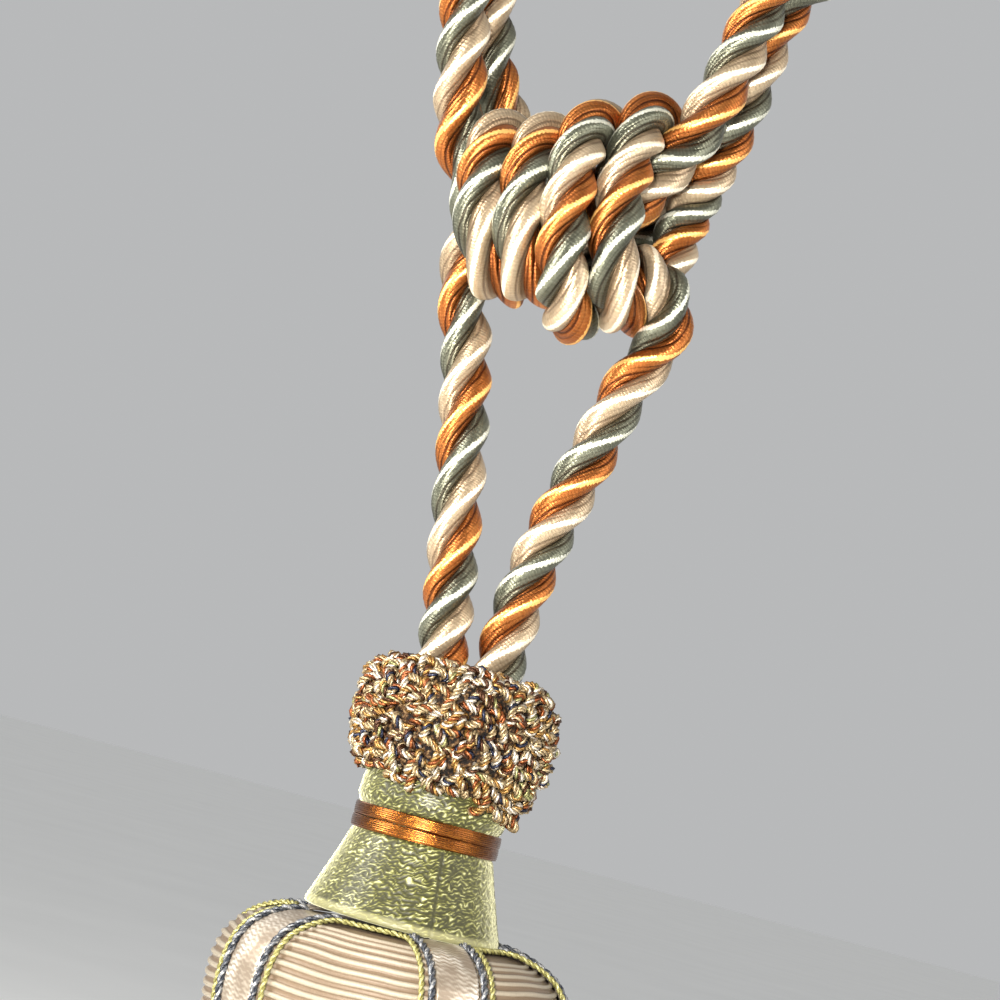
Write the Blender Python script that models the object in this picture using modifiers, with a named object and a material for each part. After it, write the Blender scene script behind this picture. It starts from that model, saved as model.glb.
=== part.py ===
"""Curtain tieback tassel: a cord tassel hung from a knotted three-strand rope.

Frame: metres, +Z up, -Y is the front.  The origin is above the tassel's axis,
level with the tops of the two hanging loops, which go over a wall hook.

Lengths in the tables are millimetres.  Their heights are counted from DATUM,
a level in the middle of the rope's two legs, and their x from the tables' own
zero, which is AXIS_X to the left of the tassel's axis.
"""
import math

import bmesh
import bpy
import numpy as np
from mathutils import Vector

# ---------------------------------------------------------------- sizes, mm
MM = 0.001
AXIS_X = 3.4            # the tassel's axis, in the tables' x
DATUM = 172.0           # loop tops above the tables' zero height
GAP = 0.3               # between neighbouring pieces

ROPE_R = 6.2            # half the rope's thickness where it runs free
KNOT_R = 4.9            # and where the turns press on each other
ROPE_STEP = 3.0         # spacing of the samples that settle
PASS_GAP = 12.4         # what two passes of rope try to keep, centre to centre

HEAD_TOP = -104.75      # top of the drum on its axis
HEAD_TILT = math.radians(2.5)   # the drum hangs with its right side up
BANDS = 5
BAND_FIRST = 22.0       # degrees from the front, positive to the right
BAND_WIDE = 10.7
BAND_THICK = 1.0
TWIST_R = 1.05          # slate and white cord along each edge of a band
PANEL_R = 0.95          # yellow-green cord that frames each ribbed panel
CORD_PITCH = 2.4        # between those two cords, centre to centre

SKIRT_FLUTES = 36
SKIRT_DEEP = 0.9        # how far a flute's valley sits in

# ------------------------------------------------- the rope's route (x, y, z)
LEG_LEFT = [            # out of the ruff and up behind the first turn
    (-3.2, 0, -61), (-3.4, 0, -50), (-3.8, 0, -38.5), (-5.9, 1, -24.4),
    (-8.4, 2, -10.3), (-10.9, 4, 3.9), (-13.7, 6, 18.3), (-16.9, 8, 32.8),
    (-19.4, 9.5, 43.8), (-21.6, 8.5, 53), (-22.6, 6.5, 62.5),
    (-24.2, 5, 70.6), (-27.2, 3, 78.5)]
ARM_LEFT_UP = [         # the front arm of the left loop
    (-31.4, -1, 86), (-34.6, -4, 93.5), (-36.9, -5.5, 102),
    (-38.8, -6, 113), (-41.5, -6, 124), (-45.0, -5, 134)]
ARM_LEFT_DOWN = [       # and the arm behind it
    (-38.5, 5, 134), (-34.5, 6.5, 124), (-32.6, 6.5, 114),
    (-31.2, 7, 106), (-27.2, 9.5, 98.5), (-19, 15, 89),
    (-12, 17, 78), (-8, 13, 57)]
ARM_RIGHT_UP = [
    (18.2, -5, 92.5), (22.8, -8, 98), (26.1, -9, 107.5),
    (28.6, -8, 119.7), (30.4, -7, 130.5), (32.6, -6, 141)]
ARM_RIGHT_DOWN = [
    (37, 2, 141), (34.6, 4, 131), (34.2, 4, 122), (33.2, 4, 112.1),
    (31.2, 5.5, 101), (28.6, 9, 90.5), (26.0, 12, 80),
    (24.3, 11.5, 69.5), (21.8, 5, 59.5)]
LEG_RIGHT = [           # out of the knot's right end and down to the ruff
    (20, -5, 69.5), (23.6, -5, 68.2), (26.1, -4, 60.9), (26.6, -2, 54.0),
    (25.0, 0, 43), (21.7, 1, 31), (19.2, 1, 19.1), (16.2, 1, 7.2),
    (13.5, 1, -4.5), (11.6, 0.5, -16.2), (10.4, 0, -27.4),
    (10.0, 0, -38), (9.9, 0, -50), (9.9, 0, -61)]
LOOPS = {               # the bend at each loop's top: middle, radius
    "left": ((-50.0, -0.5, 155.0), 12.5),
    "right": ((44.5, -1.5, 155.6), 12.5)}
TURNS = [               # one turn of the knot: its lowest, front and top points
    {"low": (-14.2, -4, 50.1), "front": (-21.9, -11, 67.5), "top": (-22.1, 0, 89.7), "core_y": 2},
    {"low": (-7.7, -8, 48.6), "front": (-13.3, -16, 68.5), "top": (-11.4, -2, 90.5), "core_y": 2},
    {"low": (4.3, -10, 45.7), "front": (-4.5, -20.5, 68.5), "top": (-1.7, -3, 94), "core_y": 2},
    {"low": (14.4, -8, 49.3), "front": (9.0, -20, 70), "top": (10.7, -2, 100), "core_y": 0}]
BEHIND = [(-3, 17, 70), (5, 18.5, 70)]      # between turns 1-2 and 2-3
DIVE_ARM = [            # the third turn goes in at the back, out as the arm
    (3.5, 8, 94.5), (7, 15.5, 87), (6.5, 17, 77.5), (4.5, 10, 70),
    (7.5, 1.5, 68), (12.5, -3.5, 75), (16, -5.5, 85)]
DIVE_LEG = [            # the fourth turn goes in at the back, out as the leg
    (15, 8, 101), (19, 17.5, 93), (18.5, 22, 81), (14, 20, 69),
    (10, 11, 61), (11.5, 2, 59), (15.5, -3.5, 65)]


# -------------------------------------------------------------- rope route
def ring(a, b, middle, radius, n=7):
    """Half ring from above point a to above point b, over the middle."""
    a, b, c = (np.array(v, float) for v in (a, b, middle))
    e = b - a
    e[2] = 0
    e /= np.linalg.norm(e)
    up = np.array((0, 0, 1.0))
    return [c - e * radius * math.cos(t) + up * radius * math.sin(t)
            for t in np.linspace(0, math.pi, n)]


def quarter(c, a, b, n=3):
    """Points strictly between a and b on the elliptic quarter about c."""
    c, a, b = (np.array(v, float) for v in (c, a, b))
    return [c + (a - c) * math.cos(t) + (b - c) * math.sin(t)
            for t in (math.pi / 2 * i / n for i in range(1, n))]


def turn(row):
    low, front, top = row["low"], row["front"], row["top"]
    c = ((low[0] + top[0]) / 2, row["core_y"], (low[2] + top[2]) / 2)
    return [low] + quarter(c, low, front) + [front] + quarter(c, front, top) + [top]


def behind(top, back, low):
    c = ((top[0] + low[0]) / 2, 2.0, (top[2] + low[2]) / 2)
    return quarter(c, top, back) + [back] + quarter(c, back, low)


def route_points():
    pts = LEG_LEFT + ARM_LEFT_UP
    pts += ring(ARM_LEFT_UP[-1], ARM_LEFT_DOWN[0], *LOOPS["left"])
    pts += ARM_LEFT_DOWN
    for i in range(3):
        pts += turn(TURNS[i])
        if i < 2:
            pts += behind(TURNS[i]["top"], BEHIND[i], TURNS[i + 1]["low"])
    pts += DIVE_ARM + ARM_RIGHT_UP
    pts += ring(ARM_RIGHT_UP[-1], ARM_RIGHT_DOWN[0], *LOOPS["right"])
    pts += ARM_RIGHT_DOWN + turn(TURNS[3]) + DIVE_LEG + LEG_RIGHT
    return np.array([tuple(p) for p in pts], float)


def even(p, step):
    s = np.r_[0, np.cumsum(np.linalg.norm(np.diff(p, axis=0), axis=1))]
    q = np.linspace(0, s[-1], int(round(s[-1] / step)) + 1)
    return np.stack([np.interp(q, s, p[:, k]) for k in range(3)], 1)


def spline(p, step, fine=12):
    """Centripetal Catmull-Rom curve through the points, evenly resampled."""
    p = np.vstack([2 * p[0] - p[1], p, 2 * p[-1] - p[-2]])
    out = []
    for p0, p1, p2, p3 in zip(p, p[1:], p[2:], p[3:]):
        t1 = np.linalg.norm(p1 - p0) ** 0.5
        t2 = t1 + np.linalg.norm(p2 - p1) ** 0.5
        t3 = t2 + np.linalg.norm(p3 - p2) ** 0.5
        for t in np.linspace(t1, t2, fine, endpoint=False):
            a1 = (t1 - t) / t1 * p0 + t / t1 * p1
            a2 = (t2 - t) / (t2 - t1) * p1 + (t - t1) / (t2 - t1) * p2
            a3 = (t3 - t) / (t3 - t2) * p2 + (t - t2) / (t3 - t2) * p3
            b1 = (t2 - t) / t2 * a1 + t / t2 * a2
            b2 = (t3 - t) / (t3 - t1) * a2 + (t - t1) / (t3 - t1) * a3
            out.append((t2 - t) / (t2 - t1) * b1 + (t - t1) / (t2 - t1) * b2)
    out.append(p[-2])
    return even(np.array(out), step)


def relax(p, bend, rounds):
    """Open out what bends tighter than the given radius."""
    p = p.copy()
    for _ in range(rounds):
        lap = np.zeros_like(p)
        lap[1:-1] = (p[:-2] + p[2:]) / 2 - p[1:-1]
        t = 2 * np.linalg.norm(lap, axis=1) / ROPE_STEP ** 2 * bend - 1
        t = np.clip(3 * t, 0, 1)
        for _ in range(2):
            t = np.maximum(t, np.maximum(np.r_[t[1:], 0], np.r_[0, t[:-1]]))
        p += 0.5 * t[:, None] * lap
    return p


def settle(p, gap, rounds=400, hold=0.06, soft=0.25, skip=7, bend=8.5):
    """Press the turns together: passes closer than the gap push apart, while
    the rope's own stiffness smooths it and the tied shape pulls it back."""
    tied = p.copy()
    n = len(p)
    i, j = np.triu_indices(n, skip)
    for _ in range(rounds):
        d = p[j] - p[i]
        far = np.linalg.norm(d, axis=1)
        m = far < gap
        push = np.zeros_like(p)
        if m.any():
            v = d[m] / np.maximum(far[m], 1e-6)[:, None] * ((gap - far[m]) * 0.25)[:, None]
            count = np.zeros(n)
            np.add.at(push, i[m], -v)
            np.add.at(push, j[m], v)
            np.add.at(count, i[m], 1)
            np.add.at(count, j[m], 1)
            push /= np.maximum(count, 1)[:, None] ** 0.5
            for _ in range(2):
                push[1:-1] = (push[:-2] + 2 * push[1:-1] + push[2:]) / 4
        p = p + push + hold * (tied - p)
        lap = np.zeros_like(p)
        lap[1:-1] = (p[:-2] + p[2:]) / 2 - p[1:-1]
        p = relax(p + soft * lap, bend, 2)
        p[0], p[-1] = tied[0], tied[-1]
    return even(p, ROPE_STEP)


def rope_route():
    p = spline(route_points(), ROPE_STEP)
    for _ in range(6):
        p = even(relax(p, 9.5, 8), ROPE_STEP)
    p = settle(p, PASS_GAP)
    for _ in range(3):
        p = even(relax(p, 8.0, 4), ROPE_STEP)
    return p


# ------------------------------------------------------------ scene helpers
for old in list(bpy.data.objects):
    bpy.data.objects.remove(old, do_unlink=True)
part = bpy.data.collections.new("tieback_tassel")
bpy.context.scene.collection.children.link(part)


def material(name, colour, rough):
    m = bpy.data.materials.new(name)
    m.use_nodes = True
    b = m.node_tree.nodes["Principled BSDF"]
    b.inputs["Base Color"].default_value = (*[(c / 255) ** 2.2 for c in colour], 1)
    b.inputs["Roughness"].default_value = rough
    b.inputs["Metallic"].default_value = 0.0
    return m


ROPE_MAT = material("rope_satin", (190, 150, 115), 0.4)
RUFF_MAT = material("boucle", (205, 170, 125), 0.7)
NECK_MAT = material("olive_satin", (170, 170, 100), 0.45)
RIBBON_MAT = material("copper_satin", (190, 110, 50), 0.4)
DRUM_MAT = material("cream_ribs", (225, 195, 170), 0.45)
BAND_MAT = material("champagne_satin", (190, 165, 135), 0.4)
PANEL_MAT = material("yellow_green_cord", (210, 200, 100), 0.5)
TWIST_MAT = material("slate_white_cord", (130, 140, 160), 0.5)
SKIRT_MAT = material("fringe_yarn", (205, 175, 145), 0.6)

head = bpy.data.objects.new("head_tilt", None)
head.location = (0, 0, (HEAD_TOP - DATUM) * MM)
head.rotation_euler = (0, -HEAD_TILT, 0)
part.objects.link(head)


def place(obj, mat, parent=None, smooth=60):
    obj.data.materials.clear()
    obj.data.materials.append(mat)
    part.objects.link(obj)
    if parent is not None:
        obj.parent = parent
    if smooth and obj.type == 'MESH':
        obj.data.shade_smooth()
        obj.data.set_sharp_from_angle(angle=math.radians(smooth))
    return obj


def turned(name, rows, steps):
    """Closed profile (radius, height), outer side top to bottom, turned round Z."""
    me = bpy.data.meshes.new(name)
    pts = [Vector((r * MM, 0, z * MM)) for r, z in rows]
    closed = rows[0][0] > 0
    edges = [(k, k + 1) for k in range(len(pts) - 1)]
    if closed:
        edges.append((len(pts) - 1, 0))
    me.from_pydata(pts, edges, [])
    obj = bpy.data.objects.new(name, me)
    s = obj.modifiers.new("turn", 'SCREW')
    s.axis = 'Z'
    s.angle = 2 * math.pi
    s.steps = s.render_steps = steps
    s.use_merge_vertices = True
    s.merge_threshold = 0.00001
    s.use_normal_calculate = False
    return obj


def as_mesh(obj):
    """The modified object as a plain mesh object, so its points can be moved."""
    bpy.context.scene.collection.objects.link(obj)
    deps = bpy.context.evaluated_depsgraph_get()
    me = bpy.data.meshes.new_from_object(obj.evaluated_get(deps))
    name = obj.name
    bpy.data.objects.remove(obj, do_unlink=True)
    bm = bmesh.new()
    bm.from_mesh(me)
    bmesh.ops.remove_doubles(bm, verts=bm.verts, dist=1e-5)
    bm.to_mesh(me)
    bm.free()
    me.name = name
    return bpy.data.objects.new(name, me)


def tube(name, pts, radius, sides, radii=None):
    cu = bpy.data.curves.new(name, 'CURVE')
    cu.dimensions = '3D'
    cu.bevel_depth = radius * MM
    cu.bevel_resolution = {6: 1, 8: 2}[sides]
    cu.use_fill_caps = True
    sp = cu.splines.new('POLY')
    sp.points.add(len(pts) - 1)
    for k, p in enumerate(pts):
        sp.points[k].co = (p[0] * MM, p[1] * MM, p[2] * MM, 1)
        sp.points[k].radius = 1 if radii is None else radii[k] / radius
    sp.use_smooth = True
    return bpy.data.objects.new(name, cu)


# --------------------------------------------------------------------- rope
def bend_radius(p):
    v = np.diff(p, axis=0)
    s = np.linalg.norm(v, axis=1)
    t = v / s[:, None]
    k = np.linalg.norm(np.diff(t, axis=0), axis=1) / ((s[1:] + s[:-1]) / 2)
    return np.r_[1e3, 1 / np.maximum(k, 1e-3), 1e3]


def thin_out(p):
    """Fewer samples where the rope runs straight, more where it bends."""
    bend = bend_radius(p)
    keep = [0]
    while keep[-1] < len(p) - 1:
        k = keep[-1]
        reach = min(len(p) - 1, k + 8)
        step = np.clip(0.62 * bend[k:reach + 1].min(), 9, 27)
        keep.append(min(len(p) - 1, k + max(2, int(round(step / ROPE_STEP)))))
    if keep[-1] - keep[-2] < 2:
        keep.pop(-2)
    return p[keep], keep


fine = rope_route()
pts, keep = thin_out(fine)
# the tube is slimmer where another pass lies against it
near = np.array([min(np.linalg.norm(np.delete(fine, slice(max(0, k - 9), k + 10), 0) - fine[k], axis=1).min(), 20)
                 for k in keep])
slim = np.clip((near - 11.4) / 3.0, 0, 1)
radii = KNOT_R + (ROPE_R - KNOT_R) * slim
pts = pts - np.array((AXIS_X, 0, DATUM))
place(tube("rope", pts, ROPE_R, 8, radii), ROPE_MAT)

# --------------------------------------------------------------------- ruff
RUFF = [                # looped trimming round the rope's ends: radius, height
    (16.8, -42.0), (20.2, -43.5), (22.6, -48.0), (23.8, -53.0), (24.0, -58.0),
    (23.0, -63.5), (21.4, -68.5), (19.0, -71.6), (15.6, -71.4), (14.3, -68.0),
    (14.2, -56.0), (14.4, -44.5)]


def ruffle(x, y, z, inner):
    """Uneven outline of the loops: lumps round the ring and along its height."""
    a = math.atan2(y, x)
    lump = math.sin(9 * a + 0.09 * z * 3) * 0.5 + math.sin(5 * a - 0.07 * z * 3 + 1.3) * 0.4
    return 0 if inner else 0.9 * lump


ruff = as_mesh(turned("ruff", [(r, z - DATUM) for r, z in RUFF], 32))
for v in ruff.data.vertices:
    x, y, z = v.co / MM
    r = math.hypot(x, y)
    if r < 14.6:
        continue
    d = ruffle(x, y, z + DATUM, False)
    a = math.atan2(y, x)
    low = z + DATUM < -66
    droop = -1.1 * max(0.0, math.cos(a)) if low else 0.0
    s = (r + d) / r
    v.co = (x * s * MM, y * s * MM, (z + droop) * MM)
place(ruff, RUFF_MAT)

# --------------------------------------------------------------------- neck
NECK = [                # covered neck with its stub up inside the ruff
    (0.0, -62.2), (13.0, -62.2), (13.6, -63.0), (13.6, -73.6), (17.6, -73.9),
    (18.0, -75.0), (17.2, -77.0), (16.4, -77.3), (16.4, -83.6), (17.4, -83.9),
    (18.4, -89.0), (20.2, -95.0), (22.3, -100.0), (23.7, -102.0),
    (23.4, -103.0), (22.5, -103.4), (0.0, -103.4)]
place(turned("neck", [(r, z - DATUM) for r, z in NECK], 32), NECK_MAT)

RIBBON = [              # two turns of ribbon in the neck's waist
    (17.6, -77.6), (17.95, -79.0), (17.95, -81.9),
    (17.6, -83.3), (16.75, -83.3), (16.75, -77.6)]
place(turned("ribbon", [(r, z - DATUM) for r, z in RIBBON], 28), RIBBON_MAT)

# --------------------------------------------------------- drum, head's frame
DRUM = [                # radius, height under the drum's top
    (0.0, 0.0), (26.5, 0.0), (29.5, -0.5), (34.0, -2.0), (38.1, -4.5),
    (40.6, -7.9), (41.9, -12.0), (42.4, -16.5), (42.3, -20.5), (41.8, -24.5),
    (41.0, -28.0), (39.6, -32.0), (37.6, -34.8), (35.0, -35.6), (0.0, -35.6)]
place(turned("drum", DRUM, 36), DRUM_MAT, head)


def meridian(start, stop, lift, step):
    """Points along the drum's outside at a lift above it, evenly spaced from
    the given radius on the top to the given height on the side."""
    rows = [np.array((r, z), float) for r, z in DRUM if r > 20][:-1]
    path = [np.array((start, 0.0))] + [q for q in rows if q[0] > start and q[1] > stop]
    last = [q for q in rows if q[1] <= stop][0]
    before = path[-1]
    t = (stop - before[1]) / (last[1] - before[1])
    path.append(before + t * (last - before))
    path = np.array(path)
    s = np.r_[0, np.cumsum(np.linalg.norm(np.diff(path, axis=0), axis=1))]
    q = np.linspace(0, s[-1], int(round(s[-1] / step)) + 1)
    mid = np.stack([np.interp(q, s, path[:, k]) for k in range(2)], 1)
    tan = np.gradient(mid, axis=0)
    tan /= np.linalg.norm(tan, axis=1)[:, None]
    out = np.stack([-tan[:, 1], tan[:, 0]], 1)      # away from the drum
    return mid + out * lift


def on_drum(rz, azimuth, side):
    """A meridian shifted sideways by a fixed distance, in the head's frame."""
    pts = []
    for r, z in rz:
        a = azimuth + math.asin(side / r)
        pts.append((r * math.sin(a), -r * math.cos(a), z))
    return pts


BAND_START, BAND_STOP = 25.5, -33.0
EDGE = BAND_WIDE / 2 + GAP + TWIST_R
FRAME = EDGE + CORD_PITCH
azimuths = [math.radians(BAND_FIRST + 360 / BANDS * k) for k in range(BANDS)]

for k, az in enumerate(azimuths):
    rz = meridian(BAND_START, BAND_STOP, GAP + 0.1, 4.2)
    bm = bmesh.new()
    rows = []
    for w in np.linspace(-BAND_WIDE / 2, BAND_WIDE / 2, 4):
        rows.append([bm.verts.new([c * MM for c in p]) for p in on_drum(rz, az, w)])
    for a, b in zip(rows, rows[1:]):
        for m in range(len(a) - 1):
            bm.faces.new((a[m], a[m + 1], b[m + 1], b[m]))
    me = bpy.data.meshes.new("band_%d" % (k + 1))
    bm.to_mesh(me)
    bm.free()
    band = bpy.data.objects.new("band_%d" % (k + 1), me)
    sol = band.modifiers.new("thick", 'SOLIDIFY')
    sol.thickness = BAND_THICK * MM
    sol.offset = 1.0
    sol.use_even_offset = False
    place(band, BAND_MAT, head)
    rz = meridian(BAND_START + 0.5, BAND_STOP, TWIST_R + GAP, 4.2)
    for tag, side in (("left", -EDGE), ("right", EDGE)):
        place(tube("twist_%d_%s" % (k + 1, tag), on_drum(rz, az, side), TWIST_R, 6),
              TWIST_MAT, head)

for k, az in enumerate(azimuths):
    nxt = azimuths[(k + 1) % BANDS] + (2 * math.pi if k == BANDS - 1 else 0)
    rz = meridian(BAND_START + 3.4, BAND_STOP, PANEL_R + GAP, 4.2)
    up = on_drum(rz, az, FRAME)[::-1]
    down = on_drum(rz, nxt, -FRAME)
    r0, z0 = rz[0]
    a0 = az + math.asin(FRAME / r0)
    a1 = nxt - math.asin(FRAME / r0)
    ends = (a1 - a0) * 0.12
    top = [((r0 - 1.6) * math.sin(a), -(r0 - 1.6) * math.cos(a), z0)
           for a in np.linspace(a0 + ends, a1 - ends, 5)]
    place(tube("panel_cord_%d" % (k + 1), up + top + down, PANEL_R, 6), PANEL_MAT, head)

# -------------------------------------------------------------------- skirt
SKIRT = [               # fringe hung from the drum's lower edge: radius, height
    (0.0, -141.2), (34.0, -141.2), (35.6, -142.4), (36.2, -150.0),
    (36.6, -192.0), (37.4, -240.0), (38.0, -269.0),
    (37.2, -270.0), (0.0, -270.0)]
skirt = as_mesh(turned("skirt", [(r, z - DATUM) for r, z in SKIRT], SKIRT_FLUTES * 3))
for v in skirt.data.vertices:
    x, y, z = v.co / MM
    r = math.hypot(x, y)
    h = z + DATUM
    a = math.atan2(y, x)
    if r > 30:
        wave = SKIRT_DEEP * math.cos(SKIRT_FLUTES * a)
        sway = 0.5 * math.sin(3 * a + 0.02 * h) * (-(h + 141) / 130)
        s = (r + wave + sway) / r
        x, y = x * s, y * s
    # the top follows the tilted drum, the foot hangs level
    fade = max(0.0, 1 + (h + 141.2) / 60)
    v.co = (x * MM, y * MM, (z + x * math.tan(HEAD_TILT) * fade) * MM)
place(skirt, SKIRT_MAT)
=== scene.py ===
"""A curtain tieback tassel: a three-strand satin rope tied in a wound knot
between two hanging loops, a ruff of looped cord, a crinkled satin neck with a
ribbon, a ribbed drum crossed by five bands, and a bullion fringe."""
import math
import random

import bpy
import numpy as np
from mathutils import Matrix, Vector, noise


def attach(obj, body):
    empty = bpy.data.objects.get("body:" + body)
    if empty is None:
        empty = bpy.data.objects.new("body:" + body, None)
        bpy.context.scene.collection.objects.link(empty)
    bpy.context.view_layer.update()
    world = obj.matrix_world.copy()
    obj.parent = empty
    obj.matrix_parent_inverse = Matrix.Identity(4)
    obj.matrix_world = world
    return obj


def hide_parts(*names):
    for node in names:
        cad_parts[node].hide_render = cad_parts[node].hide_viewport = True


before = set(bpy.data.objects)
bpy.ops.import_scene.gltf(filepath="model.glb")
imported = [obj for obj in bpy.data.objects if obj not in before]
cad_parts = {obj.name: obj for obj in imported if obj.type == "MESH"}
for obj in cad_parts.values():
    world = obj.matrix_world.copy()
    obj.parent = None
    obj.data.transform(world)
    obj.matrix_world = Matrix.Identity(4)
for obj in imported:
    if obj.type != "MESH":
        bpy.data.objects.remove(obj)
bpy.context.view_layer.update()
MM = 0.001
AXIS_X = 3.4            # the tables' x of the tassel's axis
DATUM = 172.0           # loop tops above the tables' zero height
rng = random.Random(11)

# ------------------------------------------------- the rope's route (x, y, z)
ROPE_STEP = 3.0         # spacing of the samples that settle
PASS_GAP = 12.4         # what two passes of rope try to keep, centre to centre
# ------------------------------------------------- the rope's route (x, y, z)
LEG_LEFT = [            # out of the ruff and up behind the first turn
    (-3.2, 0, -61), (-3.4, 0, -50), (-3.8, 0, -38.5), (-5.9, 1, -24.4),
    (-8.4, 2, -10.3), (-10.9, 4, 3.9), (-13.7, 6, 18.3), (-16.9, 8, 32.8),
    (-19.4, 9.5, 43.8), (-21.6, 8.5, 53), (-22.6, 6.5, 62.5),
    (-24.2, 5, 70.6), (-27.2, 3, 78.5)]
ARM_LEFT_UP = [         # the front arm of the left loop
    (-31.4, -1, 86), (-34.6, -4, 93.5), (-36.9, -5.5, 102),
    (-38.8, -6, 113), (-41.5, -6, 124), (-45.0, -5, 134)]
ARM_LEFT_DOWN = [       # and the arm behind it
    (-38.5, 5, 134), (-34.5, 6.5, 124), (-32.6, 6.5, 114),
    (-31.2, 7, 106), (-27.2, 9.5, 98.5), (-19, 15, 89),
    (-12, 17, 78), (-8, 13, 57)]
ARM_RIGHT_UP = [
    (18.2, -5, 92.5), (22.8, -8, 98), (26.1, -9, 107.5),
    (28.6, -8, 119.7), (30.4, -7, 130.5), (32.6, -6, 141)]
ARM_RIGHT_DOWN = [
    (37, 2, 141), (34.6, 4, 131), (34.2, 4, 122), (33.2, 4, 112.1),
    (31.2, 5.5, 101), (28.6, 9, 90.5), (26.0, 12, 80),
    (24.3, 11.5, 69.5), (21.8, 5, 59.5)]
LEG_RIGHT = [           # out of the knot's right end and down to the ruff
    (20, -5, 69.5), (23.6, -5, 68.2), (26.1, -4, 60.9), (26.6, -2, 54.0),
    (25.0, 0, 43), (21.7, 1, 31), (19.2, 1, 19.1), (16.2, 1, 7.2),
    (13.5, 1, -4.5), (11.6, 0.5, -16.2), (10.4, 0, -27.4),
    (10.0, 0, -38), (9.9, 0, -50), (9.9, 0, -61)]
LOOPS = {               # the bend at each loop's top: middle, radius
    "left": ((-50.0, -0.5, 155.0), 12.5),
    "right": ((44.5, -1.5, 155.6), 12.5)}
TURNS = [               # one turn of the knot: its lowest, front and top points
    {"low": (-14.2, -4, 50.1), "front": (-21.9, -11, 67.5), "top": (-22.1, 0, 89.7), "core_y": 2},
    {"low": (-7.7, -8, 48.6), "front": (-13.3, -16, 68.5), "top": (-11.4, -2, 90.5), "core_y": 2},
    {"low": (4.3, -10, 45.7), "front": (-4.5, -20.5, 68.5), "top": (-1.7, -3, 94), "core_y": 2},
    {"low": (14.4, -8, 49.3), "front": (9.0, -20, 70), "top": (10.7, -2, 100), "core_y": 0}]
BEHIND = [(-3, 17, 70), (5, 18.5, 70)]      # between turns 1-2 and 2-3
DIVE_ARM = [            # the third turn goes in at the back, out as the arm
    (3.5, 8, 94.5), (7, 15.5, 87), (6.5, 17, 77.5), (4.5, 10, 70),
    (7.5, 1.5, 68), (12.5, -3.5, 75), (16, -5.5, 85)]
DIVE_LEG = [            # the fourth turn goes in at the back, out as the leg
    (15, 8, 101), (19, 17.5, 93), (18.5, 22, 81), (14, 20, 69),
    (10, 11, 61), (11.5, 2, 59), (15.5, -3.5, 65)]


# -------------------------------------------------------------- rope route
def ring(a, b, middle, radius, n=7):
    """Half ring from above point a to above point b, over the middle."""
    a, b, c = (np.array(v, float) for v in (a, b, middle))
    e = b - a
    e[2] = 0
    e /= np.linalg.norm(e)
    up = np.array((0, 0, 1.0))
    return [c - e * radius * math.cos(t) + up * radius * math.sin(t)
            for t in np.linspace(0, math.pi, n)]


def quarter(c, a, b, n=3):
    """Points strictly between a and b on the elliptic quarter about c."""
    c, a, b = (np.array(v, float) for v in (c, a, b))
    return [c + (a - c) * math.cos(t) + (b - c) * math.sin(t)
            for t in (math.pi / 2 * i / n for i in range(1, n))]


def turn(row):
    low, front, top = row["low"], row["front"], row["top"]
    c = ((low[0] + top[0]) / 2, row["core_y"], (low[2] + top[2]) / 2)
    return [low] + quarter(c, low, front) + [front] + quarter(c, front, top) + [top]


def behind(top, back, low):
    c = ((top[0] + low[0]) / 2, 2.0, (top[2] + low[2]) / 2)
    return quarter(c, top, back) + [back] + quarter(c, back, low)


def route_points():
    pts = LEG_LEFT + ARM_LEFT_UP
    pts += ring(ARM_LEFT_UP[-1], ARM_LEFT_DOWN[0], *LOOPS["left"])
    pts += ARM_LEFT_DOWN
    for i in range(3):
        pts += turn(TURNS[i])
        if i < 2:
            pts += behind(TURNS[i]["top"], BEHIND[i], TURNS[i + 1]["low"])
    pts += DIVE_ARM + ARM_RIGHT_UP
    pts += ring(ARM_RIGHT_UP[-1], ARM_RIGHT_DOWN[0], *LOOPS["right"])
    pts += ARM_RIGHT_DOWN + turn(TURNS[3]) + DIVE_LEG + LEG_RIGHT
    return np.array([tuple(p) for p in pts], float)


def even(p, step):
    s = np.r_[0, np.cumsum(np.linalg.norm(np.diff(p, axis=0), axis=1))]
    q = np.linspace(0, s[-1], int(round(s[-1] / step)) + 1)
    return np.stack([np.interp(q, s, p[:, k]) for k in range(p.shape[1])], 1)


def spline(p, step, fine=12):
    """Centripetal Catmull-Rom curve through the points, evenly resampled."""
    p = np.vstack([2 * p[0] - p[1], p, 2 * p[-1] - p[-2]])
    out = []
    for p0, p1, p2, p3 in zip(p, p[1:], p[2:], p[3:]):
        t1 = np.linalg.norm(p1 - p0) ** 0.5
        t2 = t1 + np.linalg.norm(p2 - p1) ** 0.5
        t3 = t2 + np.linalg.norm(p3 - p2) ** 0.5
        for t in np.linspace(t1, t2, fine, endpoint=False):
            a1 = (t1 - t) / t1 * p0 + t / t1 * p1
            a2 = (t2 - t) / (t2 - t1) * p1 + (t - t1) / (t2 - t1) * p2
            a3 = (t3 - t) / (t3 - t2) * p2 + (t - t2) / (t3 - t2) * p3
            b1 = (t2 - t) / t2 * a1 + t / t2 * a2
            b2 = (t3 - t) / (t3 - t1) * a2 + (t - t1) / (t3 - t1) * a3
            out.append((t2 - t) / (t2 - t1) * b1 + (t - t1) / (t2 - t1) * b2)
    out.append(p[-2])
    return even(np.array(out), step)


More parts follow.
